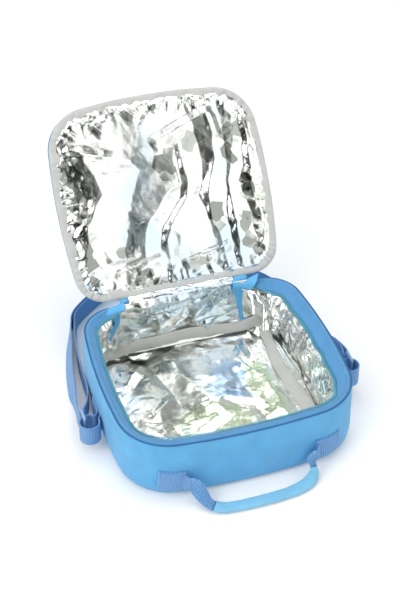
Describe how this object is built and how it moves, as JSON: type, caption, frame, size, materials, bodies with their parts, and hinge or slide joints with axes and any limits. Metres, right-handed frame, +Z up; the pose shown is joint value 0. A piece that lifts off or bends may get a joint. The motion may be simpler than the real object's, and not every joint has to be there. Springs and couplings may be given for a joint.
{
  "type": "lunch box",
  "caption": "Soft insulated lunch box with a padded fabric tub, foil lining, zipped hinged lid, carry handle and adjustable shoulder strap, shown open.",
  "frame": {"origin": "middle of the flat base, under the centre of the rim outline", "axes": "+Z up from the base to the rim, -Y towards the carry handle, +Y towards the hinge, +X to the right seen from the handle"},
  "size_m": [0.291, 0.3872, 0.2298],
  "materials": {
    "shell": "matte",
    "foam": "matte",
    "foil": "polished",
    "seam_binding": "matte",
    "corner_binding": "matte",
    "piping": "matte",
    "zip_tape": "matte",
    "zip_coil": "satin",
    "webbing": "matte",
    "clear_plastic": "gloss",
    "lid_binding": "matte",
    "sleeve": "satin",
    "zip_metal": "satin",
    "zip_pull": "satin"
  },
  "bodies": {
    "tub": {"base_panel": "shell", "side_wall": "shell", "rear_wall": "shell", "base_foam": "foam", "wall_foam": "foam", "rear_foam": "foam", "base_liner": "foil", "wall_liner": "foil", "rear_liner": "foil", "base_seam_binding": "seam_binding", "corner_binding_left": "corner_binding", "corner_binding_right": "corner_binding", "rim_piping": "piping", "zip_tape_body": "zip_tape", "zip_coil_body": "zip_coil", "hinge_strip": "shell", "handle_tab_left": "webbing", "handle_tab_right": "webbing", "strap_tab_left": "webbing", "strap_tab_right": "webbing", "shoulder_strap": "webbing", "strap_slider": "clear_plastic"},
    "lid": {"lid_panel": "shell", "lid_foam": "foam", "lid_liner": "foil", "lid_binding": "lid_binding", "lid_hinge_flap": "shell", "zip_tape_lid": "zip_tape", "zip_coil_lid": "zip_coil"},
    "handle": {"handle_webbing": "webbing", "handle_grip": "sleeve"},
    "ring_left": {"strap_ring_left": "clear_plastic"},
    "ring_right": {"strap_ring_right": "clear_plastic"},
    "slider_left": {"zip_slider_left": "zip_metal"},
    "slider_right": {"zip_slider_right": "zip_metal"},
    "pull_left": {"zip_pull_left": "zip_pull"},
    "pull_right": {"zip_pull_right": "zip_pull"}
  },
  "joints": [
    {"name": "lid_hinge", "type": "hinge", "parent": "tub", "child": "lid", "pos_m": [0, 0.1058, 0.0695], "axis": [1, 0, 0], "range_deg": [-52, 128]},
    {"name": "handle_swing", "type": "hinge", "parent": "tub", "child": "handle", "pos_m": [0, -0.113, 0.0205], "axis": [-1, 0, 0], "range_deg": [-30, 120]},
    {"name": "ring_swing_left", "type": "hinge", "parent": "tub", "child": "ring_left", "pos_m": [-0.139, -0.001, 0.025], "axis": [0, 0, 1], "range_deg": [-10, 10]},
    {"name": "ring_swing_right", "type": "hinge", "parent": "tub", "child": "ring_right", "pos_m": [0.139, -0.001, 0.025], "axis": [0, 0, 1], "range_deg": [-10, 10]},
    {"name": "zip_travel_left", "type": "hinge", "parent": "lid", "child": "slider_left", "pos_m": [0.48, 0.18173, 0.14444], "axis": [0, 0.788, -0.6157], "range_deg": [0, 11.6]},
    {"name": "zip_travel_right", "type": "hinge", "parent": "lid", "child": "slider_right", "pos_m": [-0.48, 0.18173, 0.14444], "axis": [0, 0.788, -0.6157], "range_deg": [-11.6, 0]},
    {"name": "pull_swing_left", "type": "hinge", "parent": "slider_left", "child": "pull_left", "pos_m": [-0.09782, 0.14276, 0.08871], "axis": [0.9932, 0.0719, 0.092], "range_deg": [-38, 142]},
    {"name": "pull_swing_right", "type": "hinge", "parent": "slider_right", "child": "pull_right", "pos_m": [0.09782, 0.14276, 0.08871], "axis": [0.9932, -0.0719, -0.092], "range_deg": [-38, 142]}
  ]
}
